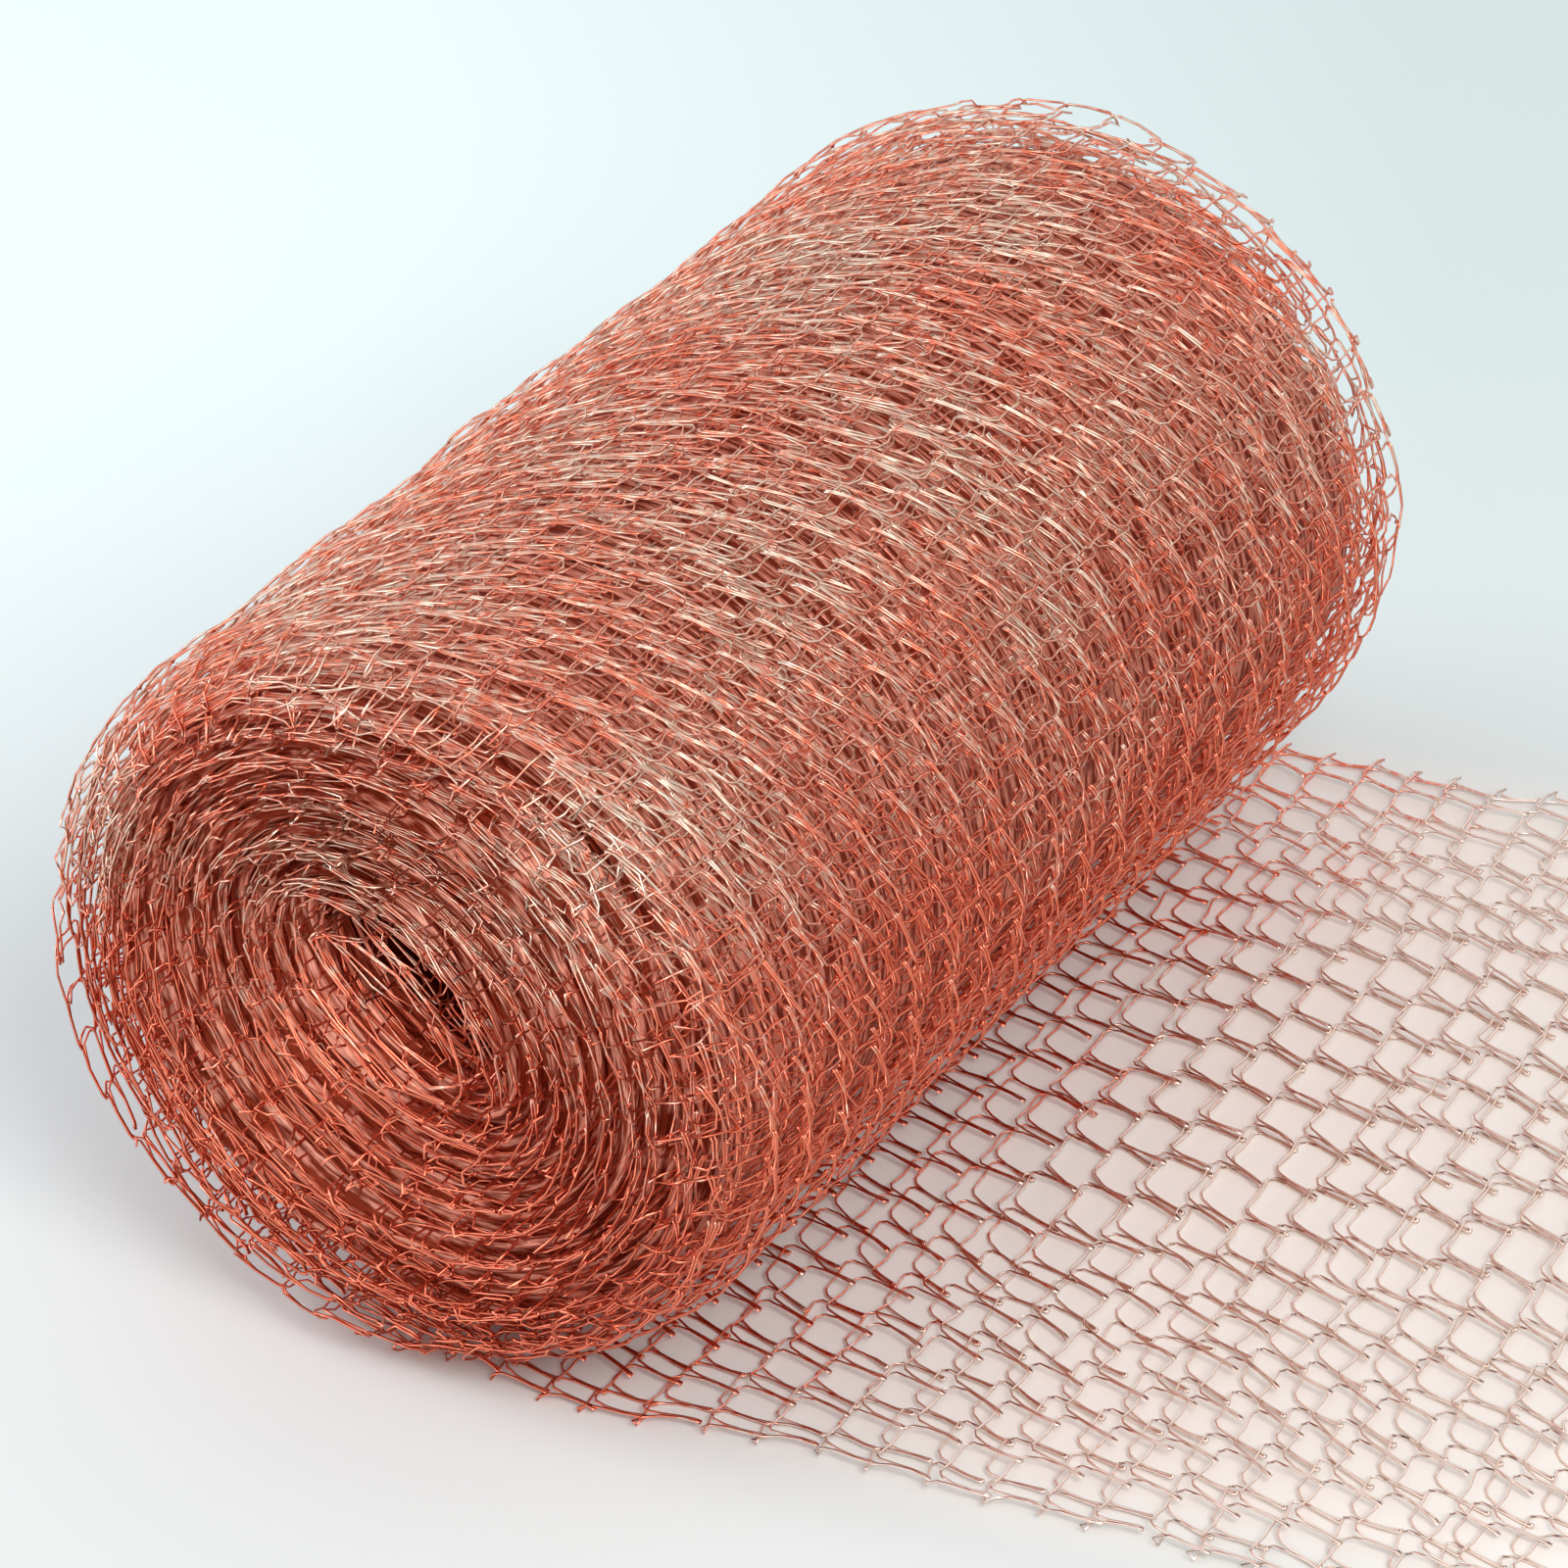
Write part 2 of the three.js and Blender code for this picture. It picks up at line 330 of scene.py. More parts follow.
class Strip:
    """The strip's way from its plain cut, over the floor and into the roll."""

    def __init__(self, sizes):
        rng = np.random.default_rng(sizes.seed)
        self.pitch = sizes.pitch
        self.edge = Waves(rng, 9, 40)
        self.bulge = Waves(rng, 14, 60)
        self.lift = Waves(rng, 30, 80)
        self.floor = sizes.wire / 2

    def fray(self, along, across):
        """How far out the strip strays, -2 to 2: waves of each edge's own, times the fifth
        power of the place across, which leaves the middle as it is."""
        edges_apart = 50.0
        return self.edge(along, np.sign(across) * edges_apart) * (across / HALF) ** 5

    def wound(self, along, across, out):
        """Points of the wound strip.

        The turns' radius falls by one pitch a turn, and they lie together in pairs. A place
        across keeps its share of the end's reach at the turn's depth. Towards both ends the
        outer turns are drawn in over the rounded rim, by the drop of a quarter circle. The
        outermost turn is slack: its near edge stands off low on the left, and its far edge
        over the top.
        """
        turns = turns_at(along, self.pitch)
        pair = np.tanh(3 * np.cos(np.pi * turns)) * smoothstep(turns, *PAIRS_BEGIN)
        depth = self.pitch * np.maximum(turns - RIM_TURNS, 0)
        loosened = np.where(across < 0, bump(turns, *SLACK_NEAR), bump(turns, *SLACK_FAR))
        loosened = SLACK * loosened
        reach = end_reach(depth + EDGE_INSET) + PAIR_REACH * pair
        reach = reach + (HALF - SLACK_INSET - reach) * loosened
        y = across / HALF * reach
        y = y + WOUND_FRAY * self.fray(along, across) * np.minimum(turns + 0.3, 1)
        over = np.clip(np.abs(y) - SIDE_HALF, 0, EDGE_RADIUS - 0.2)
        drop = EDGE_RADIUS - np.sqrt(EDGE_RADIUS ** 2 - over ** 2)
        drop = drop * np.clip(1 - depth / EDGE_RADIUS, 0, 1) * (1 - loosened)
        radius = ROLL_RADIUS - HALF_THICK - self.pitch * turns - drop - PAIR_SHIFT * pair
        radius = radius + BULGE * self.bulge(along, across) * smoothstep(turns, *BULGE_BEGINS)
        radius = radius + SLACK_LIFT * loosened * (across / HALF) ** 4
        x, z = section(np.maximum(radius, LEAST_RADIUS) + out, FULL_TURN * turns)
        return x, y, np.maximum(z, HALF_THICK - out)

    def loose(self, along, across, out):
        """Points of the loose end, which opens out as it leaves the roll, then lies askew.

        x is the length away, less the slope's share of the place across by the cut, which
        is square to the strip. y adds the offset and the slope to the place across, which
        the roll nips in and the flare spreads. The tube is pressed flatter as it settles,
        on low waves, with its outer wall underneath.
        """
        away = np.maximum(-along, 0)
        settled = smoothstep(away, 0, SETTLE_LENGTH)
        drawn = 1 - (ROOT_NIP / HALF) * (1 - settled)
        spread = 1 + TAIL_FLARE * away / HALF
        x = away - TAIL_SLOPE * across * away / TAIL_LENGTH
        y = TAIL_OFFSET * settled + TAIL_SLOPE * away + across * drawn * spread
        y = y + LOOSE_FRAY * self.fray(along, across) * settled
        lift = LOOSE_LIFT * settled * (1 + self.lift(along, across) / 2)
        flat = 1 - LOOSE_FLATTENING * settled
        return x, y, (HALF_THICK - out) * flat + np.clip(lift, 0, None)

    def points(self, along, across, out):
        """Points of the strip in the row's frame, in millimetres, as one array."""
        inside = along >= 0
        wound = self.wound(np.maximum(along, 0), across, out)
        loose = self.loose(np.minimum(along, 0), across, out)
        x, y, z = (np.where(inside, a, b) for a, b in zip(wound, loose))
        return np.stack([x + ROLL_X, y + ROLL_Y, np.maximum(z, self.floor)], axis=-1)


def course_wires(strip, sizes, starts, course, loops, rng):
    """Wires of the courses that start at the given lengths, as (wire, step, xyz).

    With t going up 2 pi a stitch, a wire goes round the tube by t / 2 pi wales plus
    a sin t + b sin 2t, and along it by its height times a rise of c cos t - e cos 3t. So its
    heads are wide flat arcs towards the roll, and between them are narrow hairpins, which
    the next course's heads pass. A wire also goes in and out by d cos 2t, and leans aside in
    proportion to 1 - rise, so that its hairpins lie aslant.

    Every half stitch has its own height and its own small shift aside. A course bends by a
    sine round the tube, ahead on the outer wall and back on the inner one. Along the wound
    strip the stitches stray round the tube by two slow sine waves, and in the loose end they
    keep in step. There the inner wall's stitches are moved half a wale in the middle, under
    the outer wall's, and less towards the edges and the roll, where the two nets part.
    """
    total = 4 * (HALF - GAP) + FULL_TURN * GAP
    wale = total / sizes.wales
    count = len(starts)
    starts = starts[:, None]
    t = np.broadcast_to(loops[None, :] * FULL_TURN, (count, len(loops)))
    # Each step's nearest head or hairpin, numbered round the tube
    halves = np.floor(t / np.pi + 0.5).astype(int)
    halves = (halves - halves.min()) % (2 * sizes.wales)
    each = (count, halves.max() + 1)
    height = STITCH_HEIGHT * course * (1 + HEIGHT_SPREAD * rng.standard_normal(each))
    height = np.take_along_axis(height, halves, axis=1)
    stray = np.take_along_axis(STITCH_STRAY * rng.standard_normal(each), halves, axis=1)
    sway, side = Waves(rng, 14, 60), Waves(rng, 7, 30)

    strayed = 0.5 + 0.45 * np.sin(starts / 37.0 + 1.0) + 0.3 * np.sin(starts / 13.0)
    phase = LOOSE_PHASE + (strayed - LOOSE_PHASE) * smoothstep(starts, -5, 30)
    way = t / FULL_TURN + HEAD_SWELL * np.sin(t) + HEAD_SQUARE * np.sin(2 * t) + phase
    place = np.mod(wale * way + total / 2, total) - total / 2
    across, out, tip_across, tip_out = tube_walls(place, GAP)

    offset = COURSE_BEND * np.sin(FULL_TURN * place / total)
    offset = offset + COURSE_STRAY * rng.standard_normal((count, 1))
    offset = offset + COURSE_SWAY * sway(starts, across + SWAY_APART * tip_out)
    rise = RISE * np.cos(t) - RISE_SQUARE * np.cos(3 * t)
    along = starts + course * offset + height * rise
    front = CROSSING_SWAY * side(along, across + SIDE_APART * tip_out)
    front = front - CROSSING_DEPTH * np.cos(2 * t)

    apart_by_edge = smoothstep(np.abs(across - NETS_MEET), *NETS_PART)
    apart = np.maximum(apart_by_edge, smoothstep(along, *NETS_PART_AT_ROOT))
    aside = SIDE_SWAY * side(across, along) - HAIRPIN_LEAN * height * (1 - rise)
    aside = aside + np.where(out < 0, WALLS_APART + wale / 2 * (1 - apart), 0)
    aside = aside + stray * np.abs(rise) * (1 + (across / HALF) ** 4)
    across = across + front * tip_across + aside * (1 - (across / HALF) ** 8)
    return strip.points(along, across, out + front * tip_out)


def tube_ring(points, radius, closed):
    """Vertices of tubes round wires, as (wire, step, side, xyz).

    A section is a regular polygon in the plane of N and B, where T is the wire's direction,
    N the part square to it of the way out from the roll's axis, tipped a little towards the
    far end, and B = T x N.
    """
    if closed:
        tangent = np.roll(points, -1, axis=1) - np.roll(points, 1, axis=1)
    else:
        tangent = np.gradient(points, axis=1)
    tangent /= np.linalg.norm(tangent, axis=-1, keepdims=True) + 1e-9
    from_axis = points - np.array([ROLL_X, 0, AXIS_HEIGHT])
    from_axis[..., 1] = 0.2 * np.linalg.norm(from_axis, axis=-1)
    normal = from_axis - (from_axis * tangent).sum(-1, keepdims=True) * tangent
    normal /= np.linalg.norm(normal, axis=-1, keepdims=True) + 1e-9
    binormal = np.cross(tangent, normal)
    angle = np.arange(WIRE_SIDES)[:, None] / WIRE_SIDES * FULL_TURN
    ring = normal[:, :, None] * np.cos(angle) + binormal[:, :, None] * np.sin(angle)
    return points[:, :, None] + radius * ring


def tube_faces(wires, steps, closed):
    """Corner indices of the quads between neighbouring sections of each tube."""
    wire = np.arange(wires)[:, None, None] * steps
    step = np.arange(steps if closed else steps - 1)[None, :, None]
    side = np.arange(WIRE_SIDES)[None, None, :]
    here = (wire + step) * WIRE_SIDES
    there = (wire + (step + 1) % steps) * WIRE_SIDES
    after = (side + 1) % WIRE_SIDES
    corners = np.stack([here + side, here + after, there + after, there + side], axis=-1)
    return corners.reshape(-1, 4)


def make_mesh(name, vertices, quads, triangles=None):
    """A smooth mesh object from whole arrays of vertices, in millimetres, and of faces."""
    mesh = bpy.data.meshes.new(name)
    vertices = (vertices.reshape(-1, 3) * MM).astype(np.float32)
    loops = quads.ravel()
    sizes = np.full(len(quads), 4, dtype=np.int32)
    if triangles is not None:
        loops = np.concatenate([loops, triangles.ravel()])
        sizes = np.concatenate([sizes, np.full(len(triangles), 3, dtype=np.int32)])
    starts = np.concatenate([[0], np.cumsum(sizes)[:-1]]).astype(np.int32)
    mesh.vertices.add(len(vertices))
    mesh.vertices.foreach_set("co", vertices.ravel())
    mesh.loops.add(len(loops))
    mesh.loops.foreach_set("vertex_index", loops.astype(np.int32))
    mesh.polygons.add(len(sizes))
    mesh.polygons.foreach_set("loop_start", starts)
    mesh.polygons.foreach_set("use_smooth", np.ones(len(sizes), dtype=bool))
    mesh.update(calc_edges=True)
    if mesh.validate(verbose=False):
        raise RuntimeError(f"{name} has bad faces")
    made = bpy.data.objects.new(name, mesh)
    bpy.context.scene.collection.objects.link(made)
    return made


def make_wires(name, points, wire, closed):
    """One object of wires: tubes, with a cap on each end of those that aren't closed."""
    wires, steps = points.shape[:2]
    caps = None
    if not closed:
        first = np.arange(wires)[:, None] * steps * WIRE_SIDES + np.arange(WIRE_SIDES)[::-1]
        last = first[:, ::-1] + (steps - 1) * WIRE_SIDES
        caps = np.concatenate([first, last])
    vertices = tube_ring(points, wire / 2, closed)
    return make_mesh(name, vertices, tube_faces(wires, steps, closed), caps)


class Value:
    """A shader socket that takes part in Python sums; numbers alone stay numbers."""

    def __init__(self, shader, socket):
        self.shader, self.socket = shader, socket

    def __add__(self, other):
        return self.shader.maths("ADD", self, other)

    __radd__ = __add__

    def __sub__(self, other):
        return self.shader.maths("SUBTRACT", self, other)

    def __rsub__(self, other):
        return self.shader.maths("SUBTRACT", other, self)

    def __mul__(self, other):
        return self.shader.maths("MULTIPLY", self, other)

    __rmul__ = __mul__


class Shader:
    """A node tree being written."""

    def __init__(self, name, world=False):
        owner = bpy.data.worlds.new(name) if world else bpy.data.materials.new(name)
        owner.use_nodes = True
        self.owner, self.tree = owner, owner.node_tree
        self.tree.nodes.clear()

    def node(self, kind, settings=None, inputs=None):
        """Adds a node of this kind, with its settings and then its sockets; gives its outputs."""
        made = self.tree.nodes.new(kind)
        for key, value in (settings or {}).items():
            setattr(made, key, value)
        for key, value in (inputs or {}).items():
            if isinstance(value, Value):
                self.tree.links.new(value.socket, made.inputs[key])
            else:
                made.inputs[key].default_value = value
        return [Value(self, output) for output in made.outputs]

    def maths(self, operation, *numbers):
        """One Math node's result."""
        inputs = dict(enumerate(numbers))
        return self.node("ShaderNodeMath", {"operation": operation}, inputs)[0]

    def carried(self, value, start, end, low=0.0, high=1.0):
        """The value's way from start to end, as an even way from low to high, held there."""
        inputs = {0: value, 1: start, 2: end, 3: low, 4: high}
        return self.node("ShaderNodeMapRange", {}, inputs)[0]

    def blend(self, factor, a, b):
        """A mixed with b by the factor, as colours."""
        return self.node("ShaderNodeMix", {"data_type": "RGBA"}, {"Factor": factor, 6: a, 7: b})[2]

    def place(self):
        """The place on the object, in its own metres."""
        return self.node("ShaderNodeTexCoord")[3]

    def turned_place(self, angle):
        """The place's x and y after the object is turned about its own Z."""
        turned = self.node(
            "ShaderNodeVectorRotate",
            {"rotation_type": "Z_AXIS"},
            {"Vector": self.place(), "Angle": angle},
        )[0]
        return self.parts(turned)[:2]

    def parts(self, vector):
        """A vector's x, y and z."""
        return self.node("ShaderNodeSeparateXYZ", {}, {0: vector})

    def noise(self, where, scale, detail):
        """Noise from 0 to 1."""
        inputs = {"Vector": where, "Scale": scale, "Detail": detail}
        return self.node("ShaderNodeTexNoise", {}, inputs)[0]

    def surface(self, inputs):
        """Ends the tree in one surface with these inputs, and gives the material."""
        made = self.node("ShaderNodeBsdfPrincipled", {}, inputs)[0]
        self.node("ShaderNodeOutputMaterial", {}, {"Surface": made})
        return self.owner


def rgba(colour):
    """A colour property as four numbers."""
    return (*colour, 1.0)


def wire_copper(look, name, bright, painted_light_past_roll):
    """Bright drawn copper wire, with a soft uneven sheen.

    It is rosy in patches at random, and more so low down, which is painted shade. Away from the
    roll it is less rosy by an amount given as an argument: painted light where the loose end
    leaves the roll's shade.
    """
    shader = Shader(name)
    patches = shader.noise(shader.place(), scale=55.0, detail=3.0)
    fine = shader.noise(shader.place(), scale=900.0, detail=2.0)
    forward, _, height = shader.parts(shader.place())
    # Painted shade: the wire is more rosy towards the floor, below 5 cm, where the roll's lower
    # side is shaded.
    low = shader.carried(height, 0.05, 0.008, high=0.28)
    # Painted light: paler from x = -36 mm to 0, where the loose end leaves the roll's shade.
    pale = shader.carried(forward, -0.036, 0.0, high=painted_light_past_roll)
    # The mix of rosy and bright: toned patches at random, less the painted shade low down, plus
    # the painted light past the roll.
    tone = shader.carried(patches * 0.4 + fine * 0.6 - low + pale, 0.41, 0.6)
    return shader.surface(
        {
            "Base Color": shader.blend(tone, rgba(look.rosy), rgba(bright)),
            "Metallic": 1.0,
            "Roughness": look.roughness - 0.08 + 0.16 * fine,
        }
    )


def core_copper(look):
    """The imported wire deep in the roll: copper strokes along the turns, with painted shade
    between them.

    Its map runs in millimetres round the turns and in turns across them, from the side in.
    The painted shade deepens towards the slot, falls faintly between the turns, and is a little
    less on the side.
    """
    shader = Shader("core_copper")
    around, turns = shader.parts(shader.node("ShaderNodeUVMap", {"uv_map": "UVMap"})[0])[:2]
    along = shader.node("ShaderNodeCombineXYZ", {}, {0: around * 0.3, 1: turns * 2.6})[0]
    strokes = shader.noise(along, scale=1.0, detail=2.0)
    # Painted shade, faint, between neighbouring turns.
    between = shader.maths("COSINE", turns * FULL_TURN)
    # Painted shade deepening into the slot.
    painted_slot_shade = shader.carried(turns, 22.0, 25.0, high=0.3)
    # Less painted shade on the side, under the outer turns.
    less_shade_on_side = shader.carried(turns, 3.0, 0.0, high=0.05)
    lit = shader.carried(strokes + 0.07 * between - painted_slot_shade + less_shade_on_side, 0.465, 0.625)
    # Painted shade in the gaps between strokes: a deep copy of the rosy copper.
    painted_gap_shade = tuple(0.3 * c ** 1.5 for c in look.rosy)
    pale = tuple(0.63 * a + 0.37 * b for a, b in zip(look.rosy, look.bright))
    relief = {"Strength": 1.0, "Distance": 0.0006, "Height": strokes}
    return shader.surface(
        {
            "Base Color": shader.blend(lit, rgba(painted_gap_shade), rgba(pale)),
            "Metallic": 1.0,
            "Roughness": 0.45,
            "Normal": shader.node("ShaderNodeBump", {}, relief)[0],
        }
    )


def dress(piece, material):
    """Gives a piece its material and its body."""
    piece.data.materials.append(material)
    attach(piece, "root")


def wound_copper(look):
    """The roll's wire, made once for all its pieces."""
    name = "wound_copper"
    return bpy.data.materials.get(name) or wire_copper(look, name, look.bright, 0.0)


def packed_core(sizes):
    """The core's vertices, its quads and its map, in millimetres round and turns across.

    A ring of it has one part of the radius and one share of the length: out from the middle
    of the near end to its rim, along the side, and in again on the far end. Its points are
    the section's at that radius. Their y is the share times the end's reach there, less an
    inset, a bell-shaped pit in the middle and a groove at every other turn, by a cosine. The
    rims are rounded off, and the innermost ring of each end is left open, as a thin slit.
    """
    columns, end_rings, side_rings = 180, 96, 29
    around = np.arange(columns + 1)[None, :] / columns
    end = np.concatenate([np.linspace(0.005, 0.97, end_rings), [0.985, 1.0]])
    side = np.linspace(-1, 1, side_rings + 2)[1:-1]
    share = np.concatenate([-np.ones(len(end)), side, np.ones(len(end))])[:, None]
    part = np.concatenate([end, np.ones(len(side)), end[::-1]])[:, None]
    radius = part * (ROLL_RADIUS - sizes.pitch * sizes.full_turns - CORE_UNDER) + 0 * around
    depth_in_turns = (ROLL_RADIUS - HALF_THICK - radius) / sizes.pitch
    x, z = section(radius, FULL_TURN * around)
    pit = PIT_DEPTH * np.exp(-((radius / PIT_RADIUS) ** 2))
    groove = GROOVE_DEPTH / 2 * (1 - np.cos(np.pi * depth_in_turns) * (radius > CORE_RADIUS))
    reach = end_reach(ROLL_RADIUS - radius) - CORE_INSET - pit - groove
    y = share * reach * (1 - 0.04 * bump(part, 1.0, 0.2) * (np.abs(share) == 1))
    vertices = np.stack([x + ROLL_X, y + ROLL_Y, z], axis=-1)
    row, column = np.arange(len(share) - 1)[:, None], np.arange(columns)[None, :]
    here, there = row * (columns + 1) + column, (row + 1) * (columns + 1) + column
    quads = np.stack([here, here + 1, there + 1, there], axis=-1).reshape(-1, 4)
    beside = (1 - np.abs(share)) * reach / sizes.pitch
    uv = np.stack([FULL_TURN * around * radius, depth_in_turns - around - beside], axis=-1)
    return vertices, quads, uv.reshape(-1, 2)


class MESHROLL_OT_core(bpy.types.Operator):
    """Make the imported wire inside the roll, with a slit at the bottom of each end's pit"""

    bl_idname = "meshroll.core"
    bl_label = "Packed Core"

    def execute(self, context):
        vertices, quads, uv = packed_core(context.scene.roll_sizes)
        core = make_mesh("roll_core", vertices, quads)
        layer = core.data.uv_layers.new(name="UVMap")
        layer.data.foreach_set("uv", uv[quads.ravel()].astype(np.float32).ravel())
        dress(core, core_copper(context.scene.copper_look))
        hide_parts(NODE)
        return {"FINISHED"}


def wound_length(turn, pitch):
    """Length of strip wound after this many turns: 2 pi (R w - p w^2 / 2)."""
    return FULL_TURN * (ROLL_RADIUS * turn - pitch * turn ** 2 / 2)


class MESHROLL_OT_outer_turns(bpy.types.Operator):
    """Knit the outer turns of the roll, each course a closed wire"""

    bl_idname = "meshroll.outer_turns"
    bl_label = "Outer Turns"

    def execute(self, context):
        sizes = context.scene.roll_sizes
        strip = Strip(sizes)
        loops = np.arange(sizes.wales * ROLL_STEPS) / ROLL_STEPS
        last = wound_length(sizes.full_turns, sizes.pitch)
        starts = np.arange(sizes.roll_course / 2, last, sizes.roll_course)
        most = MOST_TRIANGLES // (2 * WIRE_SIDES * len(loops))
        for first in range(0, len(starts), most):
            rng = np.random.default_rng(sizes.seed + OUTER_SEED + first)
            part = starts[first:first + most]
            points = course_wires(strip, sizes, part, sizes.roll_course, loops, rng)
            piece = make_wires(f"outer_turns_{first // most + 1}", points, sizes.wire, True)
            dress(piece, wound_copper(context.scene.copper_look))
        return {"FINISHED"}


class MESHROLL_OT_turn_ends(bpy.types.Operator):
    """Knit the folded edges of the inner turns, which show at both ends of the roll"""

    bl_idname = "meshroll.turn_ends"
    bl_label = "Turn Ends"

    def execute(self, context):
        sizes = context.scene.roll_sizes
        strip = Strip(sizes)
        last_turn = (ROLL_RADIUS - CORE_RADIUS - INNERMOST_ROOM) / sizes.pitch
        low, high = (wound_length(turn, sizes.pitch) for turn in (sizes.full_turns, last_turn))
        starts = np.arange(low + sizes.roll_course / 2, high, sizes.roll_course)
        steps = EDGE_STITCHES * ROLL_STEPS // 2
        for index, (name, fold) in enumerate((("near", 0), ("far", sizes.wales / 2))):
            rng = np.random.default_rng(sizes.seed + ENDS_SEED + index)
            loops = fold + np.arange(-steps, steps + 1) / ROLL_STEPS
            points = course_wires(strip, sizes, starts, sizes.roll_course, loops, rng)
            piece = make_wires(f"turn_ends_{name}", points, sizes.wire, False)
            dress(piece, wound_copper(context.scene.copper_look))
        return {"FINISHED"}


class MESHROLL_OT_loose_end(bpy.types.Operator):
    """Knit the loose end that lies beside the roll"""

    bl_idname = "meshroll.loose_end"
    bl_label = "Loose End"

    def execute(self, context):
        sizes = context.scene.roll_sizes
        strip = Strip(sizes)
        rng = np.random.default_rng(sizes.seed + LOOSE_SEED)
        loops = np.arange(sizes.wales * LOOSE_STEPS) / LOOSE_STEPS
        starts = -np.arange(0, TAIL_LENGTH - sizes.tail_course, sizes.tail_course)
        points = course_wires(strip, sizes, starts, sizes.tail_course, loops, rng)
        piece = make_wires("loose_end", points, sizes.wire, True)
        look = context.scene.copper_look
        # How much paler the loose end's wire turns past the roll: painted light where it leaves
        # the roll's shade.
        painted_light_past_roll = 0.5
        dress(piece, wire_copper(look, "loose_copper", look.loose, painted_light_past_roll))
        return {"FINISHED"}


class MESHROLL_OT_stage(bpy.types.Operator):
    """Set the pale floor, the soft light and the camera"""

    bl_idname = "meshroll.stage"
    bl_label = "Stage"

    def execute(self, context):
        look = context.scene.stage_look
        make_floor(look)
        make_sky(look)
        make_lamps(look)
        make_camera(context.scene)
        context.scene.view_settings.view_transform = "Standard"
        return {"FINISHED"}


# The camera that the photograph was taken with, about the roll's middle, in millimetres
CAMERA_AZIMUTH = np.radians(30.66)
CAMERA_ELEVATION = np.radians(30.81)
CAMERA_DISTANCE = 700.0
CAMERA_ROLL = np.radians(-0.86)
CAMERA_LENS = 178.9
CAMERA_SHIFT = (3.02, -9.88)
CAMERA_TARGET = (-0.66, 0.0, 39.0)

# Middle of the floor that the loose end covers, in metres across it
UNDER_MIDDLE = (ROLL_Y + TAIL_OFFSET - TAIL_SLOPE * ROLL_X) * MM


def make_floor(look):
    """A wide pale floor with painted light, brightest far on the left as the camera sees it.

    A strip of painted warm light, which fades at its edges, lies under the loose end.
    """
    reach = 3000.0
    corners = np.array([[-1, -1, 0], [1, -1, 0], [1, 1, 0], [-1, 1, 0]]) * reach
    floor = make_mesh("floor", corners, np.array([[0, 1, 2, 3]]))
    shader = Shader("pale_floor")
    # Painted light: the floor's colour changes from far left to right and from near to far.
    right, away = shader.turned_place(-CAMERA_AZIMUTH)
    rightward = shader.carried(right, -0.09, 0.03)
    behind = shader.carried(away, 0.03, 0.16)
    beside = shader.carried(away, -0.12, 0.0)
    back = shader.blend(rightward, rgba(look.back_left), rgba(look.back_right))
    front = shader.blend(beside, rgba(look.front), rgba(look.middle))
    along, across = shader.turned_place(-TAIL_SLOPE)
    within = shader.carried(shader.maths("ABSOLUTE", across - UNDER_MIDDLE), 0.069, 0.056)
    past_root = shader.carried(along, -0.03, 0.0)
    before_cut = shader.carried(along, 0.073, 0.058)
    colour = shader.blend(behind, front, back)
    # Painted warm light under the loose end.
    colour = shader.blend(within * past_root * before_cut, colour, rgba(look.under))
    floor.data.materials.append(shader.surface({"Base Color": colour, "Roughness": 0.8}))


def make_sky(look):
    """Even light from all round, which cameras and mirrors see as plain white."""
    shader = Shader("sky", world=True)
    path = shader.node("ShaderNodeLightPath")
    camera_ray, glossy_ray = path[0], path[3]
    seen = shader.maths("MAXIMUM", camera_ray, glossy_ray)
    daylight = {"Color": (0.95, 0.98, 1.0, 1), "Strength": look.sky}
    plain_white = {"Color": (1, 1, 1, 1), "Strength": 1.0}
    lit, white = (
        shader.node("ShaderNodeBackground", {}, inputs)[0] for inputs in (daylight, plain_white)
    )
    both = shader.node("ShaderNodeMixShader", {}, {0: seen, 1: lit, 2: white})[0]
    shader.node("ShaderNodeOutputWorld", {}, {"Surface": both})
    bpy.context.scene.world = shader.owner


def aim(thing, place, target):
    """Puts a lamp at a place, looking at a target, with +Y up in its own view."""
    back = (Vector(place) - Vector(target)).normalized()
    turn = back.to_track_quat("Z", "Y").to_matrix().to_4x4()
    thing.matrix_world = Matrix.Translation(place) @ turn


def make_lamps(look):
    """A wide soft key overhead and to the right, and a weaker fill from the left."""
    middle = (ROLL_X * MM, ROLL_Y * MM, AXIS_HEIGHT * MM)
    for name, place, power, size, colour in (
        ("key", (0.6, -0.42, 0.62), look.key, 0.45, (1.0, 0.98, 0.95)),
        ("fill", (-0.72, -0.25, 0.4), look.key * 0.8, 0.5, (0.85, 0.93, 1.0)),
    ):
        lamp = bpy.data.lights.new(name, "AREA")
        lamp.energy, lamp.size, lamp.color = power, size, colour
        made = bpy.data.objects.new(name, lamp)
        bpy.context.scene.collection.objects.link(made)
        aim(made, tuple(a + b for a, b in zip(place, middle)), middle)


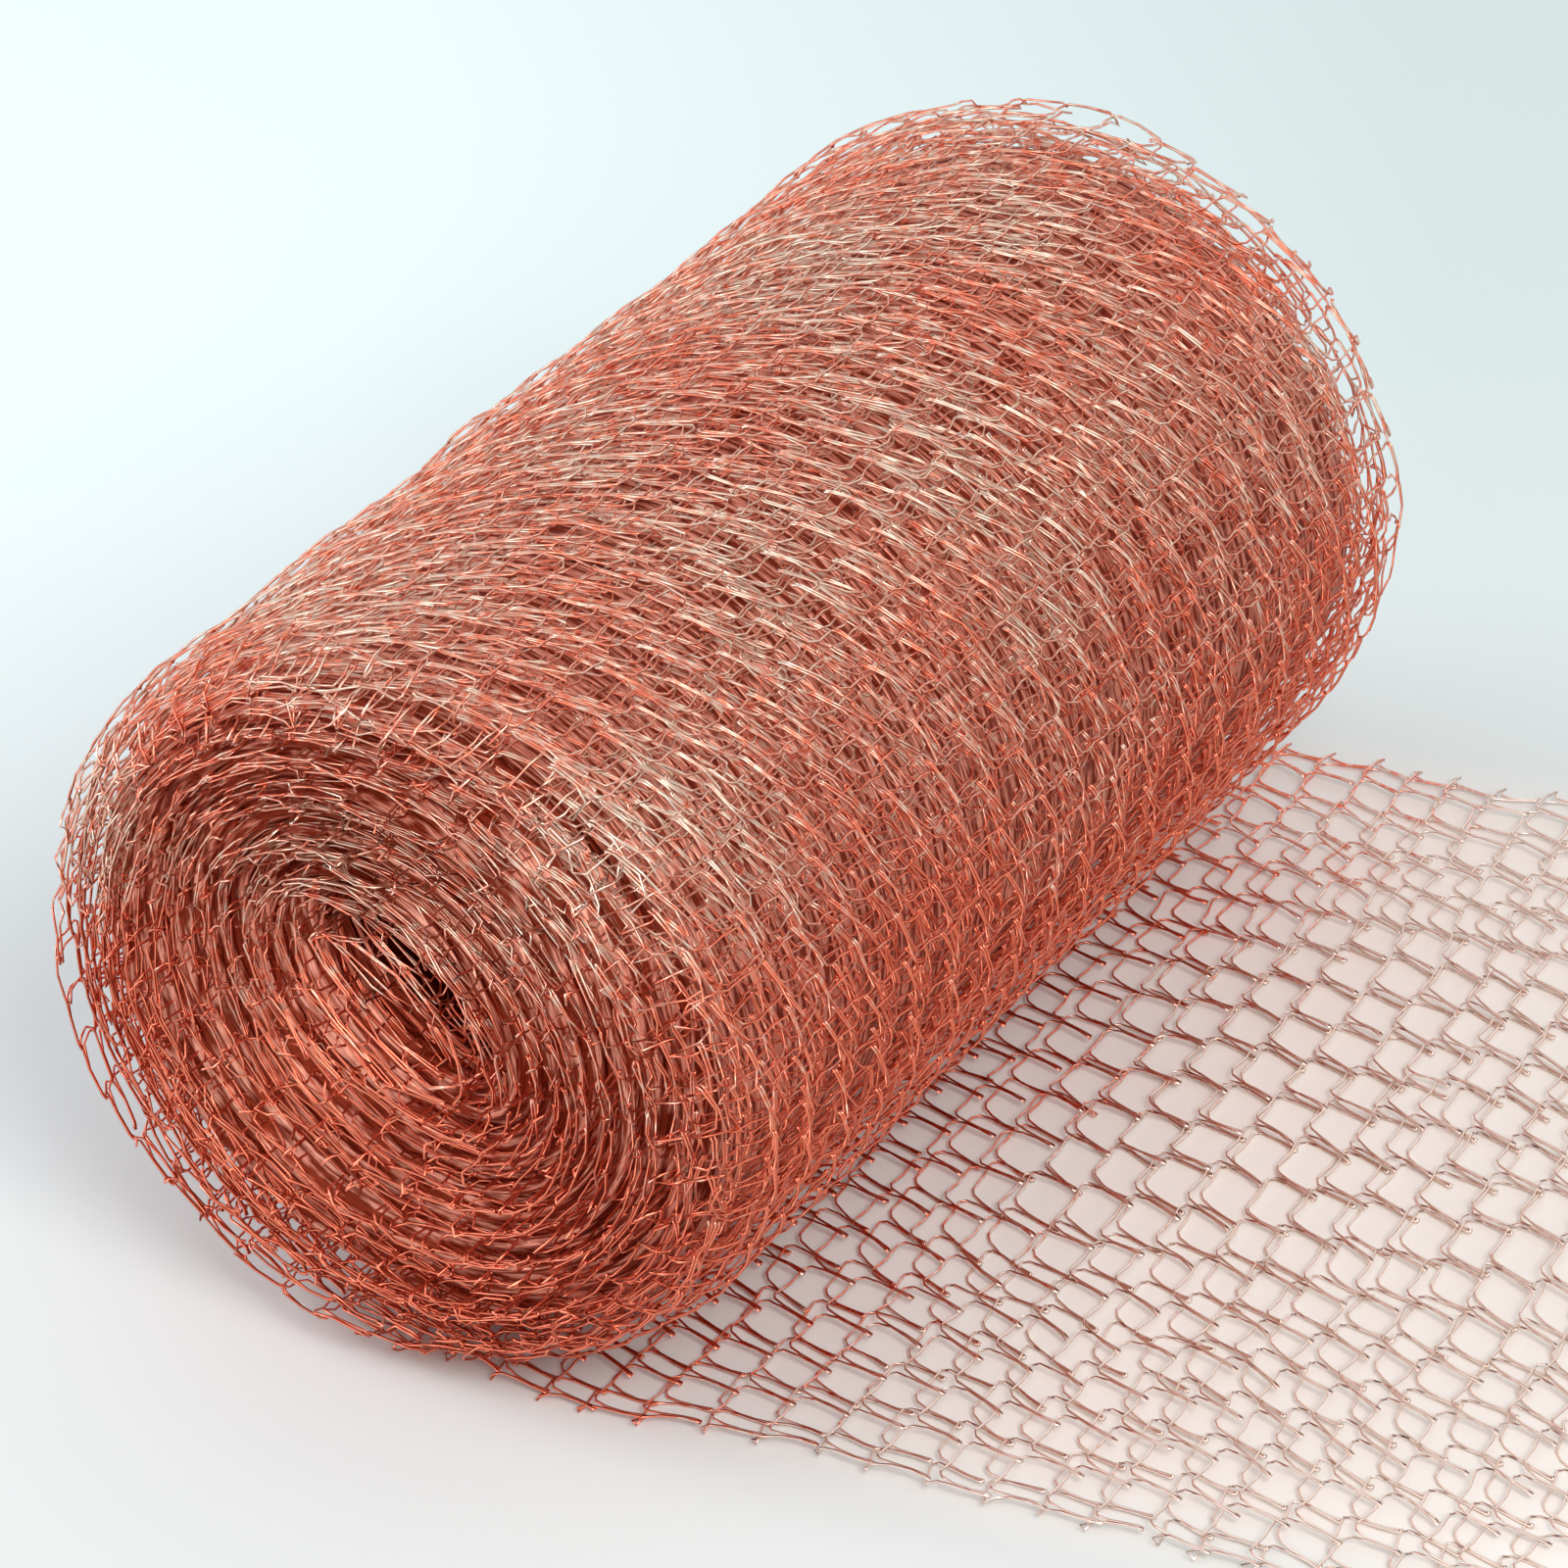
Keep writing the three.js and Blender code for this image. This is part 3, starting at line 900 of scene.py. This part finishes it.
def make_camera(scene):
    """The photograph's view: azimuth and elevation about the roll, slid sideways and down."""
    back = np.array(
        [
            np.sin(CAMERA_AZIMUTH) * np.cos(CAMERA_ELEVATION),
            -np.cos(CAMERA_AZIMUTH) * np.cos(CAMERA_ELEVATION),
            np.sin(CAMERA_ELEVATION),
        ]
    )
    level = np.array([np.cos(CAMERA_AZIMUTH), np.sin(CAMERA_AZIMUTH), 0])
    upright = np.cross(back, level)
    right = np.cos(CAMERA_ROLL) * level + np.sin(CAMERA_ROLL) * upright
    up = np.cos(CAMERA_ROLL) * upright - np.sin(CAMERA_ROLL) * level
    target = np.array(CAMERA_TARGET) + [ROLL_X, ROLL_Y, 0]
    place = target + CAMERA_SHIFT[0] * right + CAMERA_SHIFT[1] * up + CAMERA_DISTANCE * back
    data = bpy.data.cameras.new("camera")
    data.lens, data.sensor_width = CAMERA_LENS, 36.0
    data.clip_start, data.clip_end = 0.01, 20.0
    camera = bpy.data.objects.new("camera", data)
    scene.collection.objects.link(camera)
    turn = Matrix([(*r, 0) for r in np.stack([right, up, back], axis=1)] + [(0, 0, 0, 1)])
    camera.matrix_world = Matrix.Translation(Vector(place * MM)) @ turn
    scene.camera = camera


class MESHROLL_PT_panel(bpy.types.Panel):
    """Sizes, colours and steps of the roll"""

    bl_idname = "MESHROLL_PT_panel"
    bl_label = "Copper Mesh Roll"
    bl_space_type = "VIEW_3D"
    bl_region_type = "UI"
    bl_category = "Mesh Roll"

    def draw(self, context):
        for name, group in GROUPS.items():
            box = self.layout.box()
            for size_or_look in group.__annotations__:
                box.prop(getattr(context.scene, name), size_or_look)
        for step in STEPS:
            self.layout.operator(step.bl_idname)


GROUPS = {"roll_sizes": RollSizes, "copper_look": CopperLook, "stage_look": StageLook}
STEPS = (
    MESHROLL_OT_stage,
    MESHROLL_OT_core,
    MESHROLL_OT_outer_turns,
    MESHROLL_OT_turn_ends,
    MESHROLL_OT_loose_end,
)


def register():
    for name, group in GROUPS.items():
        bpy.utils.register_class(group)
        setattr(bpy.types.Scene, name, bpy.props.PointerProperty(type=group))
    for kind in (*STEPS, MESHROLL_PT_panel):
        bpy.utils.register_class(kind)


def unregister():
    for kind in (MESHROLL_PT_panel, *reversed(STEPS)):
        bpy.utils.unregister_class(kind)
    for name, group in reversed(GROUPS.items()):
        delattr(bpy.types.Scene, name)
        bpy.utils.unregister_class(group)


def main():
    register()
    bpy.ops.meshroll.stage()
    bpy.ops.meshroll.core()
    bpy.ops.meshroll.outer_turns()
    bpy.ops.meshroll.turn_ends()
    bpy.ops.meshroll.loose_end()


if __name__ == "__main__":
    main()
